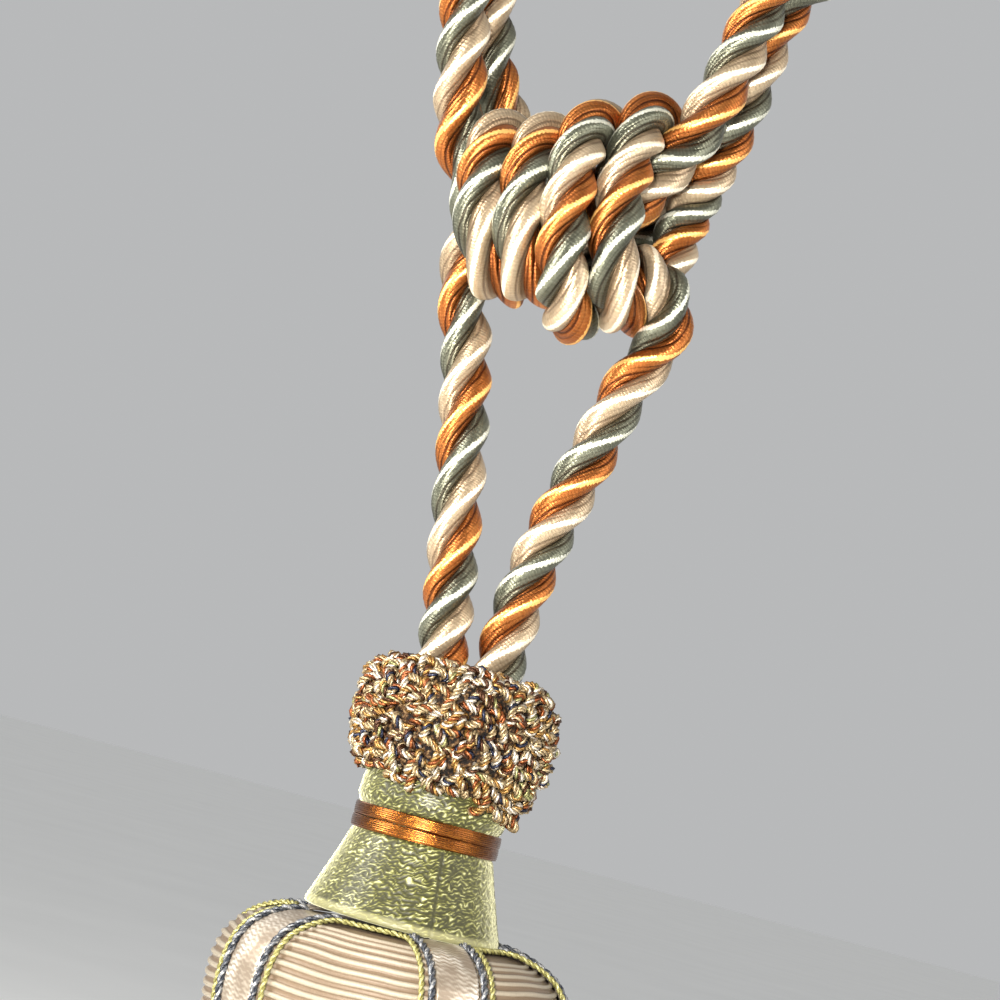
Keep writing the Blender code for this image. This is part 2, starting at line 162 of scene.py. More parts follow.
def relax(p, bend, rounds):
    """Open out what bends tighter than the given radius."""
    p = p.copy()
    for _ in range(rounds):
        lap = np.zeros_like(p)
        lap[1:-1] = (p[:-2] + p[2:]) / 2 - p[1:-1]
        t = 2 * np.linalg.norm(lap, axis=1) / ROPE_STEP ** 2 * bend - 1
        t = np.clip(3 * t, 0, 1)
        for _ in range(2):
            t = np.maximum(t, np.maximum(np.r_[t[1:], 0], np.r_[0, t[:-1]]))
        p += 0.5 * t[:, None] * lap
    return p


def settle(p, gap, rounds=400, hold=0.06, soft=0.25, skip=7, bend=8.5):
    """Press the turns together: passes closer than the gap push apart, while
    the rope's own stiffness smooths it and the tied shape pulls it back."""
    tied = p.copy()
    n = len(p)
    i, j = np.triu_indices(n, skip)
    for _ in range(rounds):
        d = p[j] - p[i]
        far = np.linalg.norm(d, axis=1)
        m = far < gap
        push = np.zeros_like(p)
        if m.any():
            v = d[m] / np.maximum(far[m], 1e-6)[:, None] * ((gap - far[m]) * 0.25)[:, None]
            count = np.zeros(n)
            np.add.at(push, i[m], -v)
            np.add.at(push, j[m], v)
            np.add.at(count, i[m], 1)
            np.add.at(count, j[m], 1)
            push /= np.maximum(count, 1)[:, None] ** 0.5
            for _ in range(2):
                push[1:-1] = (push[:-2] + 2 * push[1:-1] + push[2:]) / 4
        p = p + push + hold * (tied - p)
        lap = np.zeros_like(p)
        lap[1:-1] = (p[:-2] + p[2:]) / 2 - p[1:-1]
        p = relax(p + soft * lap, bend, 2)
        p[0], p[-1] = tied[0], tied[-1]
    return even(p, ROPE_STEP)


def rope_route():
    p = spline(route_points(), ROPE_STEP)
    for _ in range(6):
        p = even(relax(p, 9.5, 8), ROPE_STEP)
    p = settle(p, PASS_GAP)
    for _ in range(3):
        p = even(relax(p, 8.0, 4), ROPE_STEP)
    return p



# --------------------------------------------------------------- mesh tools
def along(p):
    return np.r_[0, np.cumsum(np.linalg.norm(np.diff(p, axis=0), axis=1))]


def travel(p, first=None):
    """Tangents, and two cross directions that turn as little as they can."""
    t = np.gradient(p, axis=0)
    t /= np.linalg.norm(t, axis=1)[:, None]
    u = np.zeros_like(p)
    a = np.array(first if first is not None else (0.0, -1.0, 0.0), float)
    if abs(a @ t[0]) > 0.95:
        a = np.array((0.0, 0.0, 1.0)) if abs(t[0][2]) < 0.9 else np.array((1.0, 0.0, 0.0))
    a = a - a @ t[0] * t[0]
    u[0] = a / np.linalg.norm(a)
    for i in range(1, len(p)):
        v1 = p[i] - p[i - 1]
        c1 = v1 @ v1
        if c1 < 1e-14:
            u[i] = u[i - 1]
            continue
        rl = u[i - 1] - 2 / c1 * (v1 @ u[i - 1]) * v1
        tl = t[i - 1] - 2 / c1 * (v1 @ t[i - 1]) * v1
        v2 = t[i] - tl
        c2 = v2 @ v2
        u[i] = rl - (2 / c2 * (v2 @ rl) * v2 if c2 > 1e-12 else 0)
    return t, u, np.cross(t, u)


class Heap:
    """Collects swept and turned surfaces into one mesh, with two UV maps:
    lay (length in mm, turn around 0-1) and tint (a number per cord, spare)."""

    def __init__(self):
        self.v, self.f, self.uv, self.tint, self.mat, self.n = [], [], [], [], [], 0

    def grid(self, rows, mat=0, tint=(0.0, 0.0), ulen=None, cap=True, values=None):
        """rows: n x m x 3 closed rings."""
        n, m = rows.shape[:2]
        base = self.n
        self.v.append(rows.reshape(-1, 3))
        self.n += n * m
        i, j = np.meshgrid(np.arange(n - 1), np.arange(m), indexing="ij")
        i, j = i.ravel(), j.ravel()
        k = (j + 1) % m
        quad = np.stack([i * m + j, i * m + k, (i + 1) * m + k, (i + 1) * m + j], 1)
        self.f.extend((quad + base).tolist())
        if ulen is None:
            ulen = along(rows.mean(axis=1))
        u0, u1 = ulen[i], ulen[i + 1]
        v0, v1 = j / m, (j + 1) / m
        uv = np.stack([np.stack([u0, v0], 1), np.stack([u0, v1], 1),
                       np.stack([u1, v1], 1), np.stack([u1, v0], 1)], 1)
        self.uv.append(uv.reshape(-1, 2))
        if values is None:
            tn = np.broadcast_to(np.array(tint, float), (len(quad) * 4, 2))
        else:
            val = values.reshape(-1)[quad].reshape(-1)
            tn = np.stack([val, np.full(len(val), float(tint[1]))], 1)
        self.tint.append(tn)
        self.mat += [mat] * len(quad)
        if cap:
            for row, flip in ((0, True), (n - 1, False)):
                ring_ = [base + row * m + q for q in range(m)]
                if flip:
                    ring_ = ring_[::-1]
                self.f.append(ring_)
                self.uv.append(np.array([[ulen[row], 0.0]] * m))
                if values is None:
                    self.tint.append(np.array([tint] * m, float))
                else:
                    self.tint.append(np.stack([values[row][[q - base - row * m for q in ring_]],
                                               np.full(m, float(tint[1]))], 1))
                self.mat.append(mat)

    def tube(self, path, radius, sides, outward=None, mat=0, tint=(0.0, 0.0), flat=1.0, nose=True):
        """A round cord along the path; its turn 0 faces the outward vectors."""
        t, u, v = travel(path)
        if outward is not None:
            u = outward - (outward * t).sum(1)[:, None] * t
            u /= np.linalg.norm(u, axis=1)[:, None]
            v = np.cross(t, u)
        r = np.broadcast_to(np.asarray(radius, float), (len(path),)).copy()
        s = along(path)
        if nose:                # ends round off over one more half thickness
            steps = (0.35, 0.75, 0.97)
            pre = [path[0] - t[0] * r[0] * c for c in steps][::-1]
            post = [path[-1] + t[-1] * r[-1] * c for c in steps]
            rs = [math.sqrt(1 - c * c) for c in steps]
            s = np.r_[[s[0] - r[0] * c for c in steps][::-1], s, [s[-1] + r[-1] * c for c in steps]]
            path = np.vstack([pre, path, post])
            u = np.vstack([[u[0]] * 3, u, [u[-1]] * 3])
            v = np.vstack([[v[0]] * 3, v, [v[-1]] * 3])
            r = np.r_[[r[0] * c for c in rs[::-1]], r, [r[-1] * c for c in rs]]
        a = np.linspace(0, 2 * math.pi, sides, endpoint=False)
        rows = (path[:, None, :]
                + r[:, None, None] * (np.cos(a)[None, :, None] * u[:, None, :]
                                      + flat * np.sin(a)[None, :, None] * v[:, None, :]))
        self.grid(rows, mat, tint, s)

    def twisted(self, path, plies, rho, radius, pitch, sides, phase=0.0, mats=(0,),
                tints=((0.0, 0.0),), first=None, nose=True):
        """Plies laid round each other along the path."""
        _, u, v = travel(path, first)
        s = along(path)
        for k in range(plies):
            a = 2 * math.pi * (s / pitch + k / plies) + phase
            o = np.cos(a)[:, None] * u + np.sin(a)[:, None] * v
            self.tube(path + rho * o, radius, sides, o, mats[k % len(mats)],
                      tints[k % len(tints)], nose=nose)

    def build(self, name, materials):
        me = bpy.data.meshes.new(name)
        v = np.vstack(self.v) * MM
        me.from_pydata(v.tolist(), [], self.f)
        for layer, data in (("lay", self.uv), ("tint", self.tint)):
            uv = me.uv_layers.new(name=layer)
            uv.data.foreach_set("uv", np.vstack(data).astype(np.float32).ravel())
        me.polygons.foreach_set("material_index", np.array(self.mat, np.int32))
        me.polygons.foreach_set("use_smooth", np.ones(len(self.f), bool))
        for m in materials:
            me.materials.append(m)
        me.update()
        obj = bpy.data.objects.new(name, me)
        bpy.context.scene.collection.objects.link(obj)
        return obj


def turned_rows(profile, steps, shift=None):
    """Rings about the upright axis for a profile of (radius, height) rows."""
    a = np.linspace(0, 2 * math.pi, steps, endpoint=False) - math.pi / 2
    r, z = profile[:, 0], profile[:, 1]
    return np.stack([r[:, None] * np.cos(a)[None], r[:, None] * np.sin(a)[None],
                     np.broadcast_to(z[:, None], (len(r), steps))], 2)


def smooth_profile(rows, step, rounds=2):
    """Resample a profile evenly and soften its corners a little."""
    p = even(np.array(rows, float), step)
    for _ in range(rounds):
        p[1:-1] = (p[:-2] + 2 * p[1:-1] + p[2:]) / 4
    return p


def outward_of(profile):
    t = np.gradient(profile, axis=0)
    t /= np.linalg.norm(t, axis=1)[:, None]
    return np.stack([-t[:, 1], t[:, 0]], 1)


def wrinkle(x, y, z, scale):
    return noise.noise(Vector((x * scale, y * scale, z * scale)))


# ---------------------------------------------------------------- materials
def linear(rgb):
    return [(c / 255 / 12.92 if c <= 10 else ((c / 255 + 0.055) / 1.055) ** 2.4) for c in rgb] + [1.0]


class Shade:
    """A Principled material whose colour, roughness and bump come from nodes."""

    def __init__(self, name, rough=0.4, specular=0.5, sheen=0.0, sheen_rough=0.4, sheen_tint=None,
                 metal=0.0, stretch=0.0, shine=None):
        self.mat = bpy.data.materials.new(name)
        self.mat.use_nodes = True
        self.t = self.mat.node_tree
        self.t.nodes.clear()
        self.out = self.t.nodes.new("ShaderNodeOutputMaterial")
        self.p = self.t.nodes.new("ShaderNodeBsdfPrincipled")
        self.t.links.new(self.p.outputs[0], self.out.inputs[0])
        self.p.inputs["Roughness"].default_value = rough
        self.p.inputs["Specular IOR Level"].default_value = specular
        self.p.inputs["Sheen Weight"].default_value = sheen
        self.p.inputs["Sheen Roughness"].default_value = sheen_rough
        if sheen_tint:
            self.p.inputs["Sheen Tint"].default_value = linear(sheen_tint)
        self.p.inputs["Metallic"].default_value = metal
        if shine:
            self.p.inputs["Specular Tint"].default_value = linear(shine)
        if stretch:             # satin: the shine spreads along the lay, not round it
            self.p.inputs["Anisotropic"].default_value = stretch
            tan = self.t.nodes.new("ShaderNodeTangent")
            tan.direction_type = "UV_MAP"
            tan.uv_map = "lay"
            self.t.links.new(tan.outputs[0], self.p.inputs["Tangent"])

    def put(self, socket, value):
        if isinstance(value, (int, float)):
            socket.default_value = value
        elif isinstance(value, (list, tuple)):
            socket.default_value = value
        else:
            self.t.links.new(value, socket)

    def math(self, op, a, b=None, c=None, clamp=False):
        n = self.t.nodes.new("ShaderNodeMath")
        n.operation = op
        n.use_clamp = clamp
        for k, v in enumerate((a, b, c)):
            if v is not None:
                self.put(n.inputs[k], v)
        return n.outputs[0]

    def uv(self, layer):
        n = self.t.nodes.new("ShaderNodeUVMap")
        n.uv_map = layer
        x = self.t.nodes.new("ShaderNodeSeparateXYZ")
        self.t.links.new(n.outputs[0], x.inputs[0])
        return x.outputs[0], x.outputs[1]

    def place(self):
        n = self.t.nodes.new("ShaderNodeTexCoord")
        return n.outputs["Object"]

    def join(self, x, y, z=0.0):
        n = self.t.nodes.new("ShaderNodeCombineXYZ")
        for k, v in enumerate((x, y, z)):
            self.put(n.inputs[k], v)
        return n.outputs[0]

    def around(self, u, v, ku, kv):
        """A seamless position on a cord: along it, and round it."""
        a = self.math("MULTIPLY", v, 2 * math.pi)
        return self.join(self.math("MULTIPLY", u, ku),
                         self.math("MULTIPLY", self.math("COSINE", a), kv),
                         self.math("MULTIPLY", self.math("SINE", a), kv))

    def noise(self, vec, scale=1.0, detail=2.0, rough=0.5, distort=0.0):
        n = self.t.nodes.new("ShaderNodeTexNoise")
        self.put(n.inputs["Vector"], vec)
        n.inputs["Scale"].default_value = scale
        n.inputs["Detail"].default_value = detail
        n.inputs["Roughness"].default_value = rough
        n.inputs["Distortion"].default_value = distort
        return n.outputs[0]

    def wave(self, x):
        """Smooth 0-1 ridges, one for each whole number of x."""
        return self.math("MULTIPLY_ADD", self.math("SINE", self.math("MULTIPLY", x, 2 * math.pi)), 0.5, 0.5)

    def ramp(self, fac, stops, constant=False):
        n = self.t.nodes.new("ShaderNodeValToRGB")
        n.color_ramp.interpolation = "CONSTANT" if constant else "LINEAR"
        e = n.color_ramp.elements
        while len(e) < len(stops):
            e.new(0.5)
        for k, (pos, rgb) in enumerate(stops):
            e[k].position = pos
            e[k].color = linear(rgb) if not isinstance(rgb, float) else (rgb, rgb, rgb, 1.0)
        self.put(n.inputs[0], fac)
        return n.outputs[0]

    def mix(self, fac, a, b, how="MIX"):
        n = self.t.nodes.new("ShaderNodeMix")
        n.data_type = "RGBA"
        n.blend_type = how
        self.put(n.inputs["Factor"], fac)
        self.put(n.inputs[6], a)
        self.put(n.inputs[7], b)
        return n.outputs[2]

    def spread(self, value, lo, hi):
        n = self.t.nodes.new("ShaderNodeMapRange")
        self.put(n.inputs[0], value)
        n.inputs[1].default_value = 0.0
        n.inputs[2].default_value = 1.0
        n.inputs[3].default_value = lo
        n.inputs[4].default_value = hi
        return n.outputs[0]

    def bump(self, height, distance, strength=1.0, below=None):
        n = self.t.nodes.new("ShaderNodeBump")
        n.inputs["Strength"].default_value = strength
        n.inputs["Distance"].default_value = distance * MM
        self.put(n.inputs["Height"], height)
        if below is not None:
            self.t.links.new(below, n.inputs["Normal"])
        return n.outputs[0]

    def done(self, colour, roughness=None, normal=None):
        self.put(self.p.inputs["Base Color"], colour)
        if roughness is not None:
            self.put(self.p.inputs["Roughness"], roughness)
        if normal is not None:
            self.put(self.p.inputs["Normal"], normal)
        return self.mat


# --------------------------------------------------------------- the camera
PITCH_UP, ROLL = math.radians(6.6), math.radians(15.0)
EYE = np.array((-0.0034, -0.59602, -0.24096))
AHEAD = np.array((0.0, math.cos(PITCH_UP), math.sin(PITCH_UP)))
UP0 = np.array((0.0, -math.sin(PITCH_UP), math.cos(PITCH_UP)))
RIGHT = math.cos(ROLL) * np.array((1.0, 0.0, 0.0)) + math.sin(ROLL) * UP0
UP = -math.sin(ROLL) * np.array((1.0, 0.0, 0.0)) + math.cos(ROLL) * UP0
cam_data = bpy.data.cameras.new("camera")
cam_data.lens = 90.0
cam_data.sensor_width = 36.0
cam = bpy.data.objects.new("camera", cam_data)
bpy.context.scene.collection.objects.link(cam)
look = Matrix([[RIGHT[k], UP[k], -AHEAD[k], EYE[k]] for k in range(3)] + [[0, 0, 0, 1]])
cam.matrix_world = look
bpy.context.scene.camera = cam

# ------------------------------------------------------------------ the rope
STRAND_OUT = 3.3        # strands' middles from the rope's middle
STRAND_R = 3.12
ROPE_PITCH = 35.3
FACING = [              # colour of the strand that faces front, mm along the rope
    ("cream", 26.5), ("grey", 34.5), ("orange", 44.5), ("cream", 57.5), ("grey", 70.5),
    ("orange", 82), ("cream", 93.5), ("grey", 104), ("orange", 118),
    ("orange", 159), ("cream", 169.5), ("grey", 180.5),
    ("cream", 304), ("grey", 316), ("orange", 326),
    ("orange", 382.9), ("cream", 405.9), ("grey", 414.4), ("orange", 422.4),
    ("orange", 490.8), ("cream", 507.8), ("grey", 519.8), ("orange", 529.3),
    ("cream", 628.5), ("grey", 638.8), ("orange", 647.3), ("cream", 661.8), ("grey", 669.3),
    ("orange", 761.2), ("cream", 775.7), ("grey", 784.2), ("orange", 795.2),
    ("grey", 905.1), ("orange", 917.6), ("cream", 924.1), ("grey", 928.6), ("orange", 934.1),
    ("orange", 969.1), ("grey", 994.6), ("orange", 1005.1), ("cream", 1015.6), ("grey", 1025.6),
    ("orange", 1109.5), ("cream", 1117),
    ("grey", 1124.5), ("orange", 1135.5), ("cream", 1150.5), ("grey", 1162), ("orange", 1173.5),
    ("cream", 1185), ("grey", 1194.5), ("orange", 1207), ("cream", 1216.5)]
STRANDS = ("orange", "grey", "cream")


def lay_phase(p, t, u, v, stiff=40.0, step=4.0):
    """How far the strands have turned at each point: a smooth twist near the
    rope's own pitch that brings each named strand to the front."""
    s = along(p)
    eye = EYE / MM + np.array((AXIS_X, 0, DATUM))
    d = eye - p
    d /= np.linalg.norm(d, axis=1)[:, None]
    front = np.arctan2((d * v).sum(1), (d * u).sum(1))
    want, before = [], None
    for colour, at in FACING:
        i = int(np.argmin(np.abs(s - at)))
        f = front[i] - 2 * math.pi * STRANDS.index(colour) / 3
        if before:
            aim = before[1] + 2 * math.pi * (at - before[0]) / ROPE_PITCH
            f += 2 * math.pi * round((aim - f) / (2 * math.pi))
        want.append((at, f))
        before = (at, f)
    n = int(s[-1] / step) + 2
    rows, goal = [], []
    for at, f in want:
        j = int(at // step)
        row = np.zeros(n)
        row[j], row[j + 1] = 1 - (at / step - j), at / step - j
        rows.append(row)
        goal.append(f)
    for j in range(1, n - 1):
        row = np.zeros(n)
        row[j - 1:j + 2] = np.array((1, -2, 1)) * stiff / step ** 2
        rows.append(row)
        goal.append(0.0)
    for j in range(n - 1):
        row = np.zeros(n)
        row[j:j + 2] = np.array((-1, 1)) * 2.0 / step
        rows.append(row)
        goal.append(2.0 / step * 2 * math.pi * step / ROPE_PITCH)
    x = np.linalg.lstsq(np.array(rows), np.array(goal), rcond=None)[0]
    return np.interp(s, np.arange(n) * step, x)


route = rope_route()
fine = even(route, 1.15)
for _ in range(2):
    fine[1:-1] = (fine[:-2] + 2 * fine[1:-1] + fine[2:]) / 4
rope_t, rope_u, rope_v = travel(fine, (0.0, -1.0, 0.0))
lay = lay_phase(fine, rope_t, rope_u, rope_v)
OFFSET = np.array((AXIS_X, 0.0, DATUM))


def strand_shade(name, deep, mid, pale, crest_highlight, lines, metal):
    """Satin thread wound round the strand, with a painted highlight: a pale line down the crest where the satin would
    shine. Painted shade darkens the strand towards its foot and draws dark lines on the flank towards the next strand."""
    s = Shade(name, rough=0.38, specular=0.5, metal=metal, stretch=0.80)
    u, v = s.uv("lay")
    body = s.noise(s.around(u, v, 0.10, 0.9), 1.0, 3.0, 0.6)
    fibre = s.noise(s.around(u, v, 1.7, 2.2), 1.0, 3.0, 0.65)
    sway = s.noise(s.join(s.math("MULTIPLY", u, 0.22), s.math("MULTIPLY", v, 2.0), 5.0), 1.0, 2.0)
    wrap = s.wave(s.math("ADD", s.math("ADD", s.math("MULTIPLY", u, 1 / 0.74), s.math("MULTIPLY", v, 3.0)),
                         s.math("MULTIPLY", sway, 3.0)))
    # painted shade: dark lines along the flank, between the crest and the neighbour, for the shaded slits between the
    # threads (also cut in as grooves by the bump)
    off = s.math("SUBTRACT", 0.5, s.math("ABSOLUTE", s.math("SUBTRACT", v, 0.5)))
    flank = s.math("MULTIPLY", s.math("SUBTRACT", 0.33, off), 14.0, clamp=True)
    flank = s.math("MULTIPLY", flank, s.math("MULTIPLY", s.math("SUBTRACT", off, 0.12), 26.0, clamp=True))
    waver = s.noise(s.join(s.math("MULTIPLY", u, 0.05), 3.0, 1.0), 1.0, 1.0)
    line = s.wave(s.math("ADD", s.math("MULTIPLY", v, 12.0), s.math("MULTIPLY", waver, 1.5)))
    line = s.math("MULTIPLY", s.math("POWER", line, 2.1), flank)
    tone = s.math("ADD", s.math("MULTIPLY", body, 0.6), s.math("MULTIPLY", fibre, 0.3))
    tone = s.math("ADD", tone, s.math("MULTIPLY", wrap, 0.10), clamp=True)
    colour = s.ramp(tone, [(0.25, deep), (0.50, mid), (0.75, pale)])
    # the colour multiplied down to painted shade for the slits
    slit_shade = s.mix(1.0, colour, (0.20, 0.13, 0.10, 1.0), "MULTIPLY")
    colour = s.mix(s.math("MULTIPLY", line, lines), colour, slit_shade)
    # painted shade: the strand darkens away from its crest towards the foot, where it presses into its neighbours
    foot = s.math("COSINE", s.math("MULTIPLY", v, 2 * math.pi))
    foot = s.math("MULTIPLY", s.math("SUBTRACT", 0.80, foot), 1.1, clamp=True)
    colour = s.mix(s.math("MULTIPLY", foot, 0.75), colour, s.mix(1.0, colour, (0.50, 0.42, 0.36, 1.0), "MULTIPLY"))
    # painted highlight: the crown is painted pale, with a ragged edge, as a line of shine along the satin
    ragged = s.math("ADD", off, s.math("MULTIPLY", s.math("SUBTRACT", fibre, 0.5), 0.075))
    ragged = s.math("ADD", ragged, s.math("MULTIPLY", s.math("SUBTRACT", wrap, 0.5), 0.014))
    crest_highlight_mask = s.math("MULTIPLY", s.math("SUBTRACT", 0.048, ragged), 60.0, clamp=True)
    colour = s.mix(s.math("MULTIPLY", crest_highlight_mask, 0.9), colour, linear(crest_highlight))
    high = s.math("ADD", s.math("MULTIPLY", wrap, 0.24), s.math("MULTIPLY", fibre, 1.1))
    high = s.math("SUBTRACT", high, s.math("MULTIPLY", line, lines))
    # the painted highlight is also less metallic, so it stays pale under any lamp
    s.put(s.p.inputs["Metallic"], s.math("SUBTRACT", metal, s.math("MULTIPLY", crest_highlight_mask, metal - 0.62)))
    return s.done(colour, None, s.bump(high, 0.17, 0.9))


# each strand's last colour is its painted highlight along the crest
ROPE_SHADES = [
    strand_shade("rope_orange", (132, 70, 29), (154, 91, 43), (176, 117, 62), (240, 184, 106), 0.97, 0.88),
    strand_shade("rope_grey", (77, 78, 65), (99, 100, 86), (126, 127, 111), (206, 206, 190), 0.80, 0.86),
    strand_shade("rope_cream", (142, 123, 98), (163, 144, 118), (181, 164, 138), (236, 224, 200), 0.55, 0.70)]

# a strand's section, squeezed between its neighbours: its crest is narrower
# than its foot and leans towards the side it was laid to
SECTION_SIDES = 20
turn_ = np.linspace(0, 2 * math.pi, SECTION_SIDES, endpoint=False)
section_out = STRAND_R * np.cos(turn_)
section_side = (STRAND_R * 0.96 * np.sin(turn_) * (1 - 0.20 * np.cos(turn_))
                + 0.75 * ((1 + np.cos(turn_)) / 2) ** 1.5)

heap = Heap()
rope_s = along(fine)
for k in range(3):
    a = lay + 2 * math.pi * k / 3
    out = np.cos(a)[:, None] * rope_u + np.sin(a)[:, None] * rope_v
    mid = fine + STRAND_OUT * out - OFFSET
    t = np.gradient(mid, axis=0)
    t /= np.linalg.norm(t, axis=1)[:, None]
    o = out - (out * t).sum(1)[:, None] * t
    o /= np.linalg.norm(o, axis=1)[:, None]
    w = np.cross(t, o)
    rows = (mid[:, None] + o[:, None] * section_out[None, :, None]
            + w[:, None] * section_side[None, :, None])
    for end in (0, -1):         # the hidden ends close in a short taper
        rows[end] = mid[end] + (rows[end] - mid[end]) * 0.5
    heap.grid(rows, mat=k, ulen=along(mid))
rope = heap.build("rope_strands", ROPE_SHADES)
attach(rope, "root")
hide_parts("rope")

# ------------------------------------------------- the ruff of looped cord
RUFF_SHAPE = [          # radius, height of the trimming's outside, top to foot
    (8.0, -43.5), (13.0, -42.6), (17.0, -42.6), (20.2, -44.4), (22.4, -48.4),
    (23.4, -53.0), (23.4, -58.0), (22.4, -63.0), (20.6, -67.6), (18.4, -70.4)]
CURL_STEP = 3.3         # spacing of the curls over the ruff
CURL_COLOURS = [        # colour of a ply, and how common it is
    ("cream", 33), ("white", 17), ("gold", 15), ("orange", 13),
    ("brown", 13), ("navy", 6), ("lime", 3)]


def ruff_drop(az):
    """How far the trimming's foot hangs lower on one side (az from the front)."""
    return -3.2 * max(0.0, math.sin(az)) ** 1.5 + 1.4 * max(0.0, -math.sin(az)) + 0.5 * math.sin(5 * az)


def curl_tints():
    names = [i for i, (_, w) in enumerate(CURL_COLOURS) for _ in range(w)]
    picks = [rng.choice(names) for _ in range(4)]
    if picks[0] == picks[2]:
        picks[2] = rng.choice(names)
    return [((a + 0.5) / len(CURL_COLOURS), rng.random()) for a in picks]


ruff_line = smooth_profile(RUFF_SHAPE, 0.5, 3)
ruff_out = outward_of(ruff_line)
ruff_s = along(ruff_line)
if ruff_out[len(ruff_out) // 2][0] < 0:
    ruff_out = -ruff_out

core = Heap()
core_line = ruff_line - ruff_out * 1.35
core_line = np.vstack([(0.3, core_line[0][1]), (4.0, core_line[0][1]), core_line,
                       (14.5, core_line[-1][1] - 0.6), (13.8, core_line[-1][1] + 1.0)])
rows = turned_rows(core_line, 96)
for row in rows:
    for q in row:
        az = math.atan2(q[0], -q[1])
        r = math.hypot(q[0], q[1])
        low = min(1.0, max(0.0, (-50 - q[2]) / 20))
        q[2] += ruff_drop(az) * low
        k = 1 + 0.9 * wrinkle(q[0], q[1], q[2], 0.55) / max(r, 4.0)
        q[0] *= k
        q[1] *= k
core.grid(rows[::-1] - np.array((0, 0, DATUM)))

curls = [Heap(), Heap()]
lines = int(ruff_s[-1] / CURL_STEP)
number = 0
for i in range(lines + 1):
    at = ruff_s[-1] * (i + 0.15) / (lines + 0.4)
    r = float(np.interp(at, ruff_s, ruff_line[:, 0]))
    z = float(np.interp(at, ruff_s, ruff_line[:, 1]))
    nr = float(np.interp(at, ruff_s, ruff_out[:, 0]))
    nz = float(np.interp(at, ruff_s, ruff_out[:, 1]))
    count = max(6, int(round(2 * math.pi * r / CURL_STEP)))
    for j in range(count):
        az = 2 * math.pi * (j + 0.5 * (i % 2) + rng.uniform(-0.28, 0.28)) / count
        low = min(1.0, max(0.0, (-50 - z) / 20))
        zz = z + rng.uniform(-0.7, 0.7) + ruff_drop(az) * low
        n = np.array((math.sin(az) * nr, -math.cos(az) * nr, nz))
        n += np.array([rng.uniform(-0.35, 0.35) for _ in range(3)])
        n /= np.linalg.norm(n)
        c = np.array((math.sin(az) * r, -math.cos(az) * r, zz))
        if zz > -48:        # the rope's legs pass through the middle of the top
            if min(math.hypot(c[0] + AXIS_X + 3.6 - 0, c[1]), math.hypot(c[0] + AXIS_X - 10.0, c[1])) < 8.3:
                continue
        side = np.cross(n, np.array([rng.gauss(0, 1) for _ in range(3)]))
        side /= np.linalg.norm(side)
        across = np.cross(n, side)
        tall, wide = rng.uniform(1.3, 2.5), rng.uniform(1.3, 2.3)
        if rng.random() < 0.09:         # a long loop that stands open
            tall, wide = rng.uniform(2.9, 3.5), rng.uniform(1.9, 2.4)
        slant = rng.uniform(-0.9, 0.9)
        sunk = rng.uniform(0.3, 1.3) + 0.8 * (tall - 1.3) * rng.random()
        t = np.linspace(-2.5, 2.5, 26)
        path = (c[None] + n[None] * (tall * np.cos(t) - sunk)[:, None]
                + side[None] * (wide * np.sin(t))[:, None]
                + across[None] * (slant * np.sin(t * 0.5) + 0.25 * np.sin(2 * t + j))[:, None])
        path = even(path, 0.60)
        curls[number % 2].twisted(path - np.array((0, 0, DATUM)), 4, 0.66, 0.47, rng.uniform(3.6, 4.4), 4,
                                  rng.uniform(0, 6.28), tints=curl_tints(), first=tuple(n), nose=False)
        number += 1


def curl_shade():
    s = Shade("curl_cord", rough=0.38, specular=0.6, metal=0.72, stretch=0.5)
    u, v = s.uv("lay")
    pick, odd = s.uv("tint")
    tones = {"cream": (168, 148, 114), "white": (200, 191, 176), "gold": (146, 110, 58),
             "orange": (130, 72, 34), "brown": (70, 42, 22), "navy": (34, 38, 58),
             "lime": (146, 144, 96)}
    flat = s.ramp(pick, [(k / len(CURL_COLOURS), tones[c]) for k, (c, _) in enumerate(CURL_COLOURS)], True)
    fibre = s.noise(s.around(u, v, 1.3, 1.8), 1.0, 2.0, 0.6)
    shade = s.ramp(fibre, [(0.3, (150, 140, 125)), (0.6, (255, 255, 255))])
    colour = s.mix(1.0, flat, shade, "MULTIPLY")
    return s.done(colour, s.spread(fibre, 0.28, 0.46), s.bump(fibre, 0.08, 0.7))


def core_shade():
    s = Shade("ruff_core", rough=0.8, specular=0.2)
    p = s.place()
    n = s.noise(p, 1000.0, 2.0, 0.6)
    # cord deep in the trimming, its tones darkened to near black as painted shade for the hollows between the curls
    return s.done(s.ramp(n, [(0.40, (10, 6, 3)), (0.50, (34, 21, 10)), (0.58, (72, 50, 28)), (0.68, (112, 90, 62))]),
                  None, s.bump(n, 0.6, 0.8))


curl_mat = curl_shade()
ruff_core = core.build("ruff_core", [core_shade()])
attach(ruff_core, "root")
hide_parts("ruff")
for k, h in enumerate(curls):
    o = h.build("ruff_curls_%d" % (k + 1), [curl_mat])
    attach(o, "root")

# ----------------------------------------------------- the crinkled satin neck
NECK_SHAPE = [          # radius, height: from up inside the ruff to the rim
    (12.5, -64.0), (14.6, -65.5), (16.6, -68.0), (17.6, -71.5), (17.9, -75.0),
    (17.2, -77.2), (16.4, -78.0), (16.4, -83.0), (17.2, -84.0), (18.8, -89.0),
    (20.8, -94.7), (22.6, -99.7), (23.5, -102.2), (23.7, -103.0), (23.2, -103.4),
    (20.0, -103.4)]
neck_line = smooth_profile(NECK_SHAPE, 0.30, 3)
neck_out = outward_of(neck_line)
NECK_COLS = 390


